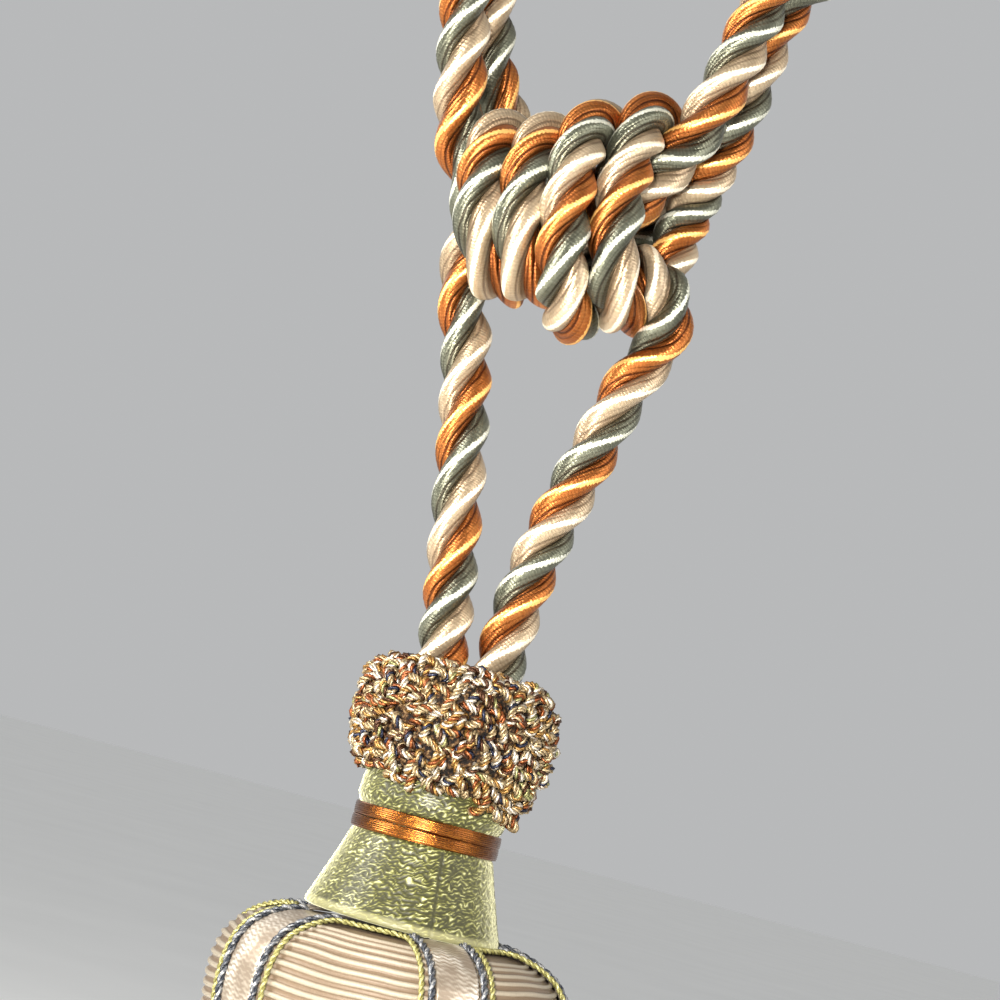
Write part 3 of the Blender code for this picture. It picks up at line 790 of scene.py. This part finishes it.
def crinkle(az, z):
    """Fine broken wavy creases lying roughly across the neck, height 0-1."""
    x, y = math.cos(az) * 18.5, math.sin(az) * 18.5
    warp = noise.noise(Vector((x * 0.34, y * 0.34, z * 0.40)))
    warp2 = noise.noise(Vector((x * 0.9 + 7, y * 0.9, z * 0.9)))
    zig = abs((az * 18.5 / 3.1 + 50 + 0.4 * warp) % 1.0 - 0.5) * 2
    line = math.sin(2 * math.pi * (z / 0.92 + warp * 1.0 + warp2 * 0.66 + 0.85 * zig))
    cut = noise.noise(Vector((x * 0.95, y * 0.95 + 3, z * 1.5)))
    return max(0.0, min(1.0, 0.42 + 0.5 * line + 0.75 * cut))


neck = Heap()
rows = turned_rows(neck_line, NECK_COLS)
relief = np.zeros(rows.shape[:2])
SEAM_AZ = math.radians(17.0)
for i, row in enumerate(rows):
    zz = neck_line[i][1]
    edge = min(1.0, max(0.0, (zz + 103.3) / 0.5)) if zz < -84 else 1.0
    for j, q in enumerate(row):
        az = math.atan2(q[0], -q[1])
        h = crinkle(az, zz)
        gap = abs(math.atan2(math.sin(az - SEAM_AZ), math.cos(az - SEAM_AZ))) * neck_line[i][0]
        seam = math.exp(-(gap / 0.35) ** 2) if zz < -84 else 0.0
        relief[i, j] = h * edge * (1 - seam)
        d = 0.20 * (h - 0.4) * edge - 0.22 * seam
        o = neck_out[i]
        q += np.array((o[0] * math.sin(az), -o[0] * math.cos(az), o[1])) * d
if neck_out[len(neck_out) // 2][0] < 0:
    raise ValueError("neck profile runs the wrong way")
neck.grid(rows[::-1] - np.array((0, 0, DATUM)), values=relief[::-1], ulen=(-neck_line[:, 1])[::-1].copy())


def neck_shade():
    s = Shade("neck_crinkle_satin", rough=0.5, specular=0.3, sheen=0.8, sheen_rough=0.42,
              sheen_tint=(244, 242, 200))
    high, _ = s.uv("tint")
    u, v = s.uv("lay")
    p = s.place()
    fine_ = s.noise(p, 1500.0, 2.0)
    broad = s.noise(p, 90.0, 2.0)
    # painted shade and highlight: the tone follows the crinkles' height, dark in the creases and the sunken seam, pale
    # on the ridges
    tone = s.math("ADD", s.math("MULTIPLY", high, 0.70), s.math("MULTIPLY", fine_, 0.15))
    tone = s.math("ADD", tone, s.math("MULTIPLY", s.math("SUBTRACT", broad, 0.5), 0.25), clamp=True)
    colour = s.ramp(tone, [(0.12, (33, 32, 5)), (0.40, (47, 46, 12)), (0.66, (98, 97, 50)),
                           (0.85, (178, 177, 138))])
    rim = s.math("MULTIPLY", s.math("SUBTRACT", u, 100.9), 1.2, clamp=True)
    colour = s.mix(s.math("MULTIPLY", rim, 0.45), colour, linear((150, 146, 106)))
    b = s.bump(fine_, 0.07, 0.7)
    return s.done(colour, s.spread(high, 0.50, 0.34), b)


neck_obj = neck.build("neck_cover", [neck_shade()])
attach(neck_obj, "root")
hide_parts("neck")

# --------------------------------------------------- ribbon, wound twice round
ribbon = Heap()
RIBBON_TURN = [(16.5, 1.45), (17.4, 1.50), (17.66, 1.42), (17.78, 1.0), (17.83, 0.3),
               (17.83, -0.3), (17.78, -1.0), (17.66, -1.42), (17.4, -1.50), (16.5, -1.45)]
for centre, tilt in ((-79.1, 0.16), (-81.9, -0.10)):
    prof = smooth_profile([(r, z + centre) for r, z in RIBBON_TURN], 0.12, 1)
    rows = turned_rows(prof, 240)
    for i, row in enumerate(rows):
        for q in row:
            az = math.atan2(q[0], -q[1])
            ripple = 0.05 * math.sin(prof[i][1] * 14 + 2 * math.sin(3 * az)) + 0.06 * wrinkle(q[0], q[1], q[2] * 3, 0.5)
            k = 1 + ripple / 17.5
            q[0] *= k
            q[1] *= k
            q[2] += tilt * math.cos(az + 0.6) + 0.10 * math.sin(2 * az)
    ribbon.grid(rows[::-1] - np.array((0, 0, DATUM)))


def ribbon_shade():
    s = Shade("ribbon_copper_satin", rough=0.30, specular=0.5, metal=1.0, stretch=0.3)
    s.p.inputs["Coat Weight"].default_value = 0.2
    s.p.inputs["Coat Roughness"].default_value = 0.30
    u, v = s.uv("lay")
    a = s.math("MULTIPLY", v, 2 * math.pi)
    ca, sa = s.math("COSINE", a), s.math("SINE", a)
    streak = s.noise(s.join(s.math("MULTIPLY", ca, 6.0), s.math("MULTIPLY", sa, 6.0),
                            s.math("MULTIPLY", u, 6.0)), 1.0, 3.0, 0.6)
    slub = s.noise(s.join(s.math("MULTIPLY", ca, 34.0), s.math("MULTIPLY", sa, 34.0),
                          s.math("MULTIPLY", u, 1.6)), 1.0, 3.0, 0.65)
    tone = s.math("ADD", s.math("MULTIPLY", streak, 0.6), s.math("MULTIPLY", slub, 0.4))
    colour = s.ramp(tone, [(0.3, (90, 43, 8)), (0.5, (113, 62, 14)), (0.7, (146, 94, 32))])
    return s.done(colour, s.spread(slub, 0.20, 0.28), s.bump(slub, 0.13, 0.8))


ribbon_obj = ribbon.build("ribbon_turns", [ribbon_shade()])
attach(ribbon_obj, "root")
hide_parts("ribbon")

# ------------------------------------------------ the drum, in its own tilt
HEAD_TOP, HEAD_TILT = -104.75, math.radians(2.5)
TILT = np.array(((math.cos(HEAD_TILT), 0, -math.sin(HEAD_TILT)), (0, 1, 0),
                 (math.sin(HEAD_TILT), 0, math.cos(HEAD_TILT))))
DRUM = [                # radius, height under the drum's top
    (0.0, 0.0), (26.5, 0.0), (29.5, -0.5), (34.0, -2.0), (38.1, -4.5),
    (40.6, -7.9), (41.9, -12.0), (42.4, -16.5), (42.3, -20.5), (41.8, -24.5),
    (41.0, -28.0), (39.6, -32.0), (37.6, -34.8), (35.0, -35.6), (0.0, -35.6)]
BANDS, BAND_FIRST, BAND_WIDE = 5, 22.0, 10.7
RIB_PITCH = 2.46
azimuths = [math.radians(BAND_FIRST + 360 / BANDS * k) for k in range(BANDS)]


def head(p):
    """From the drum's own frame to the object's."""
    return np.asarray(p) @ TILT.T + np.array((0, 0, HEAD_TOP - DATUM))


drum_line = smooth_profile([(17.0, 0.0), (21.0, 0.0)] + DRUM[1:-1] + [(30.0, -35.6)], 0.25, 10)
drum_out = outward_of(drum_line)
drum_s = along(drum_line)
if drum_out[len(drum_out) // 2][0] < 0:
    raise ValueError("drum profile runs the wrong way")


def meridian(start, stop, lift, step):
    """Along the drum's outside, from a radius on its top to a height on its
    side, evenly spaced, at a lift above it."""
    a = int(np.argmax(drum_line[:, 0] >= start))
    b = int(np.argmax(drum_line[:, 1] <= stop))
    seg = drum_line[a:b + 1]
    out = drum_out[a:b + 1]
    s = along(seg)
    q = np.linspace(0, s[-1], int(round(s[-1] / step)) + 1)
    mid = np.stack([np.interp(q, s, seg[:, k]) for k in range(2)], 1)
    o = np.stack([np.interp(q, s, out[:, k]) for k in range(2)], 1)
    return mid + o * lift


def on_drum(rz, azimuth, side):
    a = azimuth + np.arcsin(np.clip(side / rz[:, 0], -0.9, 0.9))
    return np.stack([rz[:, 0] * np.sin(a), -rz[:, 0] * np.cos(a), rz[:, 1]], 1)


drum = Heap()
rows = turned_rows(drum_line, 168)
rib_high = np.zeros(rows.shape[:2])
rib_first = float(drum_s[int(np.argmax(drum_line[:, 0] >= 29.8))])
for i, row in enumerate(rows):
    s0 = drum_s[i]
    for j, q in enumerate(row):
        az = math.atan2(q[0], -q[1])
        sway = 0.35 * noise.noise(Vector((math.sin(az) * 3, math.cos(az) * 3, s0 * 0.05)))
        f = ((s0 - rib_first) / RIB_PITCH + sway) % 1.0
        h = max(0.0, 1 - (abs(2 * f - 1) / 0.58) ** 2) ** 0.6
        ribbed = s0 > rib_first and drum_line[i][1] > -35.0
        d = 0.70 * h - 0.62 if ribbed else -0.5
        rib_high[i, j] = h if ribbed else 0.1
        o = drum_out[i]
        q += np.array((o[0] * math.sin(az), -o[0] * math.cos(az), o[1])) * d
drum.grid(head(rows[::-1].reshape(-1, 3)).reshape(rows.shape), ulen=drum_s[::-1].copy(),
          values=rib_high[::-1])


def drum_shade():
    s = Shade("drum_ribbed_satin", rough=0.5, specular=0.35, metal=0.1)
    u, v = s.uv("lay")
    p = s.place()
    hgt, _ = s.uv("tint")
    a = s.math("MULTIPLY", v, 2 * math.pi)
    thread = s.noise(s.join(s.math("MULTIPLY", s.math("COSINE", a), 150.0),
                            s.math("MULTIPLY", s.math("SINE", a), 150.0),
                            s.math("MULTIPLY", u, 0.6)), 1.0, 2.0)
    broad = s.noise(p, 60.0, 2.0)
    tone = s.math("ADD", s.math("MULTIPLY", thread, 0.5), s.math("MULTIPLY", broad, 0.5))
    colour = s.ramp(tone, [(0.3, (124, 115, 99)), (0.6, (136, 126, 110)), (0.8, (146, 137, 121))])
    # painted shade: the colour is multiplied darker between the ribs and where the cover is not ribbed, and keeps its
    # own tone on the rib crests
    deep = s.mix(1.0, colour, (0.52, 0.42, 0.35, 1.0), "MULTIPLY")
    crest = s.math("MULTIPLY", s.math("SUBTRACT", hgt, 0.28), 2.6, clamp=True)
    colour = s.mix(crest, deep, colour)
    return s.done(colour, s.spread(thread, 0.42, 0.58), s.bump(thread, 0.10, 0.6))


drum_obj = drum.build("drum_cover", [drum_shade()])
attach(drum_obj, "root")
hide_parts("drum")

# ---------------------------------------------- satin bands over the drum
GAP, TWIST_R, PANEL_R, CORD_PITCH = 0.1, 0.92, 0.82, 2.3
EDGE = BAND_WIDE / 2 + GAP + TWIST_R
FRAME = EDGE + CORD_PITCH


def band_shade():
    s = Shade("band_champagne_satin", rough=0.36, specular=0.6, metal=0.6)
    high, _ = s.uv("tint")
    p = s.place()
    n = s.noise(p, 420.0, 3.0)
    # painted highlight and shade: the tone follows the chevrons' height, pale on the ridges and darker in the hollows
    tone = s.math("ADD", s.math("MULTIPLY", high, 0.65), s.math("MULTIPLY", n, 0.35))
    colour = s.ramp(tone, [(0.25, (134, 120, 104)), (0.5, (180, 170, 155)), (0.8, (240, 236, 229))])
    return s.done(colour, s.spread(high, 0.40, 0.24), s.bump(n, 0.12, 0.7))


band_mat = band_shade()
for k, az in enumerate(azimuths):
    rz = meridian(23.6, -35.4, 0.0, 0.48)
    steps = along(rz)
    out = outward_of(rz)
    across = np.linspace(-BAND_WIDE / 2, BAND_WIDE / 2, 27)
    ringlist, val = [], []
    for m, (r, z) in enumerate(rz):
        line, vals = [], []
        for w in across:
            zig = abs(((w / 2.7 + 10) % 1.0) - 0.5) * 2
            chev = math.sin(2 * math.pi * (steps[m] / 1.25 + 0.55 * zig))
            patch = 0.5 + 0.5 * noise.noise(Vector((w * 0.25 + 9 * k, steps[m] * 0.13, 2.0))) * 2.0
            patch = min(1.0, max(0.3, patch))
            chop = noise.noise(Vector((w * 1.1, steps[m] * 1.1, 5.0 + k)))
            hgt = (0.5 + 0.5 * chev * (0.85 + 0.5 * chop)) * patch
            lift = 0.95 + 0.36 * (hgt - 0.4)
            edge = min(1.0, (BAND_WIDE / 2 - abs(w)) / 0.45)
            lift *= math.sqrt(max(0.02, 1 - (1 - edge) ** 2))
            line.append((w, lift))
            vals.append(hgt)
        under = [(w, -0.1) for w in across[::-8]]
        pts = line + under
        o = out[m]
        a = [az + math.asin(w / r) for w, _ in pts]
        ringlist.append([((r + o[0] * h) * math.sin(b), -(r + o[0] * h) * math.cos(b), z + o[1] * h)
                         for b, (w, h) in zip(a, pts)])
        val.append(vals + [0.3] * len(under))
    h = Heap()
    arr = np.array(ringlist)
    h.grid(head(arr.reshape(-1, 3)).reshape(arr.shape), values=np.array(val), ulen=steps)
    o = h.build("band_cover_%d" % (k + 1), [band_mat])
    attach(o, "root")
    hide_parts("band_%d" % (k + 1))


def ply_shade(name, deep, mid, pale, rough=0.4):
    s = Shade(name, rough=rough, specular=0.55, metal=0.4)
    u, v = s.uv("lay")
    n = s.noise(s.around(u, v, 1.4, 1.2), 1.0, 3.0, 0.6)
    colour = s.ramp(n, [(0.3, deep), (0.5, mid), (0.72, pale)])
    return s.done(colour, s.spread(n, rough + 0.1, rough - 0.1), s.bump(n, 0.12, 0.8))


slate = ply_shade("twist_slate", (20, 24, 32), (34, 38, 48), (120, 120, 118))
pearl = ply_shade("twist_pearl", (40, 44, 54), (92, 94, 98), (192, 188, 180))
lime = ply_shade("panel_yellow_green", (112, 107, 62), (150, 145, 92), (176, 171, 120))
lime_deep = ply_shade("panel_yellow_deep", (82, 78, 38), (122, 116, 64), (162, 156, 102))

for k, az in enumerate(azimuths):
    for tag, side in (("left", -EDGE), ("right", EDGE)):
        rz = meridian(24.0, -35.5, TWIST_R + 0.15, 0.45)
        h = Heap()
        h.twisted(head(on_drum(rz, az, side)), 2, 0.42, 0.50, 4.8, 7, 0.7 * k, mats=(0, 1))
        o = h.build("twist_cord_%d_%s" % (k + 1, tag), [slate, pearl])
        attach(o, "root")
        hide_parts("twist_%d_%s" % (k + 1, tag))

for k, az in enumerate(azimuths):
    nxt = azimuths[(k + 1) % BANDS] + (2 * math.pi if k == BANDS - 1 else 0)
    rz = meridian(27.6, -35.5, PANEL_R + 0.15, 0.6)
    up = on_drum(rz, az, FRAME)[::-1]
    down = on_drum(rz, nxt, -FRAME)
    r0, z0 = rz[0]
    a0 = az + math.asin(FRAME / r0)
    a1 = nxt - math.asin(FRAME / r0)
    ends = (a1 - a0) * 0.12
    top = np.array([((r0 - 2.6) * math.sin(a), -(r0 - 2.6) * math.cos(a), z0)
                    for a in np.linspace(a0 + ends, a1 - ends, 9)])
    path = even(np.vstack([up, top, down]), 0.42)
    for _ in range(12):
        path[1:-1] = (path[:-2] + 2 * path[1:-1] + path[2:]) / 4
    h = Heap()
    h.twisted(head(path), 2, 0.32, 0.40, 3.3, 6, 0.9 * k, mats=(0, 1))
    o = h.build("panel_edging_%d" % (k + 1), [lime, lime_deep])
    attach(o, "root")
    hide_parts("panel_cord_%d" % (k + 1))

# -------------------------------------------------------- the bullion fringe
FRINGE_TOP, FRINGE_FOOT = -140.6, -269.6


def bullion(heap_, az, radius, foot, ply, lean, tints, step, sides):
    """One cord of the fringe: laid double, with its fold at the foot."""
    top = np.array((radius * math.sin(az), -radius * math.cos(az), FRINGE_TOP))
    top[2] += top[0] * math.tan(HEAD_TILT)
    foot_r = radius + 1.3 + lean[0]
    a2 = az + lean[1]
    end = np.array((foot_r * math.sin(a2), -foot_r * math.cos(a2), foot + ply))
    n = int((top[2] - end[2]) / step)
    t = np.linspace(0, 1, n)[:, None]
    mid = top + (end - top) * t
    bow = np.sin(math.pi * t) * lean[2]
    mid = mid + bow * np.array((math.sin(az), -math.cos(az), 0.0))
    s = along(mid)
    _, u, v = travel(mid, (math.sin(az), -math.cos(az), 0.0))
    ang = 2 * math.pi * s / (ply * 7.6) + lean[3]
    fade = np.clip((s[-1] - s) / (ply * 0.6), 0.55, 1)[:, None]
    o = np.cos(ang)[:, None] * u + np.sin(ang)[:, None] * v
    rho = ply * 0.98 * (0.6 + 0.4 * fade) + 0 * fade
    one, two = mid + rho * o, mid - rho * o
    arc = [mid[-1] + rho[-1] * (math.cos(b) * o[-1]) + np.array((0, 0, -rho[-1][0] * math.sin(b)))
           for b in (math.pi * c / 6 for c in range(1, 6))]
    path = np.vstack([one, arc, two[::-1]])
    heap_.tube(path - np.array((0, 0, DATUM)), ply, sides, None, 0, tints, nose=False)


def fringe_shade():
    s = Shade("fringe_cord", rough=0.42, specular=0.5, metal=0.4)
    u, v = s.uv("lay")
    pick, odd = s.uv("tint")
    # the last tone, given only to the inner sleeve, is dark as painted shade between the cords
    flat = s.ramp(pick, [(0.0, (150, 130, 108)), (0.25, (166, 148, 126)), (0.5, (136, 72, 34)),
                         (0.75, (84, 88, 80)), (0.95, (66, 56, 46))], True)
    fibre = s.noise(s.around(u, v, 0.8, 1.6), 1.0, 3.0, 0.6)
    yarn = s.wave(s.math("ADD", s.math("MULTIPLY", u, 1 / 1.7), v))
    shade = s.ramp(s.math("ADD", s.math("MULTIPLY", fibre, 0.6), s.math("MULTIPLY", yarn, 0.4)),
                   [(0.25, (150, 140, 128)), (0.65, (255, 255, 255))])
    return s.done(s.mix(1.0, flat, shade, "MULTIPLY"), s.spread(fibre, 0.34, 0.52),
                  s.bump(s.math("ADD", yarn, fibre), 0.16, 0.8))


fringe_mat = fringe_shade()
OUTER, INNER = 60, 44
fringe = [Heap() for _ in range(4)]
for k in range(OUTER):
    az = 2 * math.pi * (k + rng.uniform(-0.12, 0.12)) / OUTER
    tone = (0.05, 0.30, 0.05, 0.55, 0.30, 0.05, 0.30, 0.80)[k % 8] + 0.05
    bullion(fringe[k % 2], az, 35.6 + rng.uniform(-0.3, 0.3), FRINGE_FOOT + rng.uniform(0, 2.4), 0.86,
            (rng.uniform(-0.5, 0.5), rng.uniform(-0.02, 0.02), rng.uniform(-0.5, 0.9), rng.uniform(0, 6.28)),
            (tone, rng.random()), 1.3, 6)
for k in range(INNER):
    az = 2 * math.pi * (k + rng.uniform(-0.2, 0.2)) / INNER
    bullion(fringe[2 + k % 2], az, 31.6 + rng.uniform(-0.6, 0.6), FRINGE_FOOT + rng.uniform(1.0, 6), 0.95,
            (rng.uniform(-0.8, 0.6), rng.uniform(-0.04, 0.04), rng.uniform(-0.8, 0.6), rng.uniform(0, 6.28)),
            (rng.choice((0.1, 0.35, 0.35, 0.6, 0.85)), rng.random()), 1.7, 5)
# the cords' dense inside, seen only as shade between them
sleeve = []
for z in np.linspace(FRINGE_TOP, FRINGE_FOOT + 9.0, 44):
    line = []
    for a in np.linspace(0, 2 * math.pi, 220, endpoint=False):
        r = 29.3 + 0.8 * abs(math.cos(22 * a + z * 0.5)) + 0.5 * (FRINGE_TOP - z) / 129
        line.append((r * math.sin(a), -r * math.cos(a), z + r * math.sin(a) * math.tan(HEAD_TILT)))
    sleeve.append(line)
fringe[2].grid(np.array(sleeve[::-1]) - np.array((0, 0, DATUM)), values=np.full((44, 220), 0.98))
for k, h in enumerate(fringe):
    o = h.build("fringe_%d" % (k + 1), [fringe_mat])
    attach(o, "root")
    if k == 0:
        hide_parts("skirt")

# --------------------------------------------------- floor, light and world
def lamp(name, at, aim, size, power, colour):
    data = bpy.data.lights.new(name, "AREA")
    data.shape = "DISK"
    data.size = size
    data.energy = power
    data.color = colour
    obj = bpy.data.objects.new(name, data)
    bpy.context.scene.collection.objects.link(obj)
    at, aim = Vector(at), Vector(aim)
    obj.location = at
    obj.rotation_euler = (aim - at).to_track_quat("-Z", "Y").to_euler()
    return obj


def from_camera(right, up, ahead):
    return tuple(EYE + right * RIGHT + up * UP + ahead * AHEAD)


CENTRE = (0.0, 0.0, -0.17)
lamp("key", from_camera(-0.06, 0.04, 0.0), CENTRE, 0.06, 11.2, (1.0, 0.97, 0.91))
lamp("fill_left", (-0.66, -0.22, 0.05), CENTRE, 0.3, 9.8, (1.0, 0.98, 0.94))
lamp("fill_right", (0.75, -0.40, 0.1), CENTRE, 0.5, 3.9, (0.99, 0.98, 0.98))
lamp("back_left", (-0.6, 0.7, 0.25), CENTRE, 0.5, 1.2, (1.0, 0.98, 0.95))
lamp("back_right", (0.6, 0.75, 0.2), CENTRE, 0.5, 0.6, (1.0, 0.98, 0.95))

world = bpy.data.worlds.new("studio")
world.use_nodes = True
world.node_tree.nodes["Background"].inputs[0].default_value = (0.80, 0.81, 0.82, 1.0)
world.node_tree.nodes["Background"].inputs[1].default_value = 0.60
bpy.context.scene.world = world

fm = bpy.data.meshes.new("floor")
fm.from_pydata([(-12, -12, -0.475), (12, -12, -0.475), (12, 12, -0.475), (-12, 12, -0.475)], [], [(0, 1, 2, 3)])
floor = bpy.data.objects.new("floor", fm)
bpy.context.scene.collection.objects.link(floor)
fs = Shade("floor_paper", rough=0.85, specular=0.2)
fn = fs.noise(fs.place(), 6.0, 3.0)
floor.data.materials.append(fs.done(fs.ramp(fn, [(0.3, (248, 248, 246)), (0.7, (252, 252, 250))])))

scene = bpy.context.scene
scene.view_settings.view_transform = "Standard"
scene.view_settings.look = "None"
